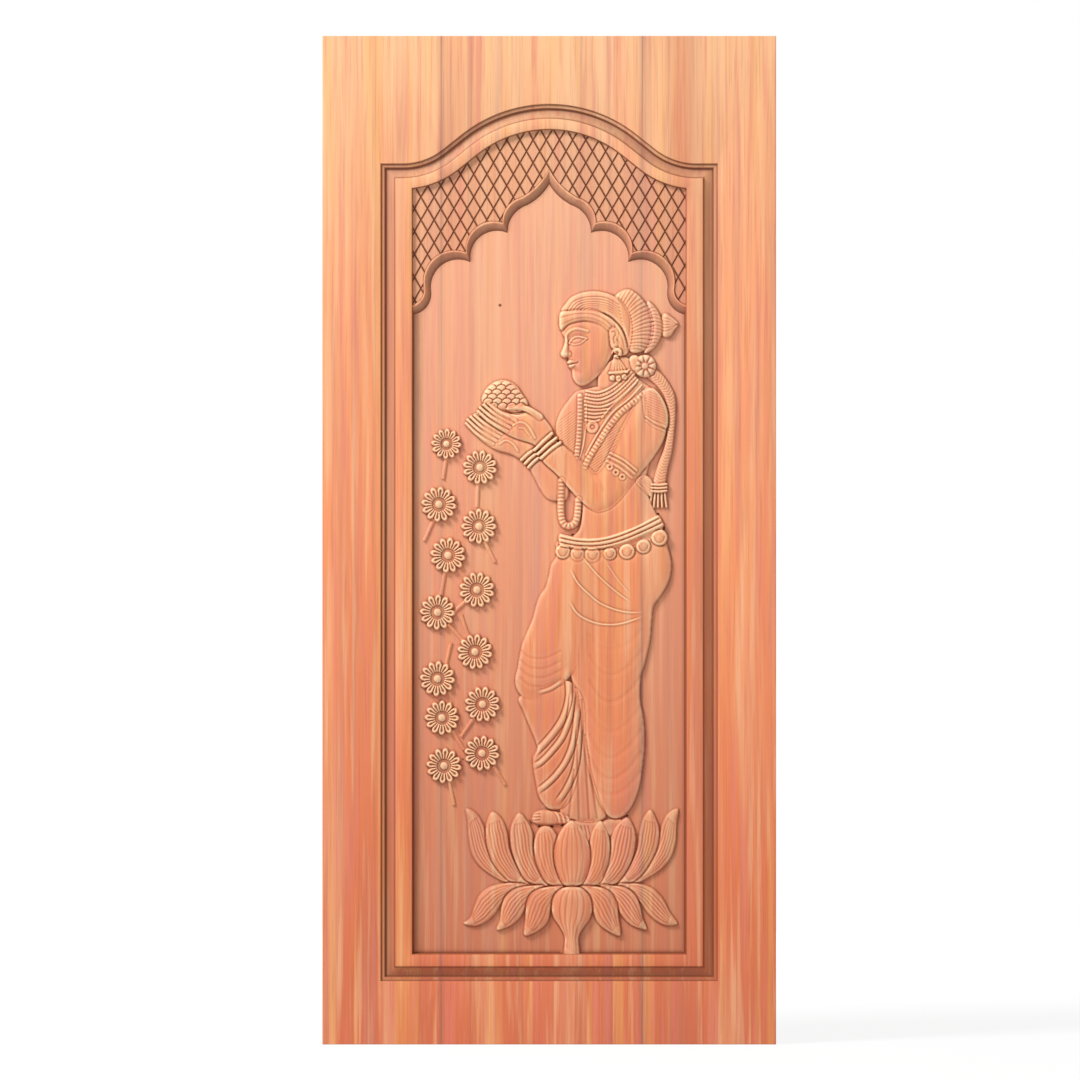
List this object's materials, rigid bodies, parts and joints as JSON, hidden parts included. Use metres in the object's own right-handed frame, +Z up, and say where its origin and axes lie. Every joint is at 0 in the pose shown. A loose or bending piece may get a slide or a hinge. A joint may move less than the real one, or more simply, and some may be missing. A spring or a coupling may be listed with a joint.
{
  "type": "carved temple door leaf",
  "caption": "Carved wooden door leaf: an arched moulding round a sunk panel where a woman holding an offering stands on a lotus beside flowering stems, under a cusped lattice arch.",
  "frame": {"origin": "middle of the foot of the door leaf, half way through its thickness", "axes": "+Z up the leaf, +Y from the carved face to the plain back, +X to the right of someone who looks at the carved face"},
  "size_m": [0.914, 0.038, 2.032],
  "materials": {
    "wood": "oiled, satin"
  },
  "bodies": {
    "root": {"left_board": "wood", "middle_board": "wood", "right_board": "wood"}
  },
  "joints": []
}
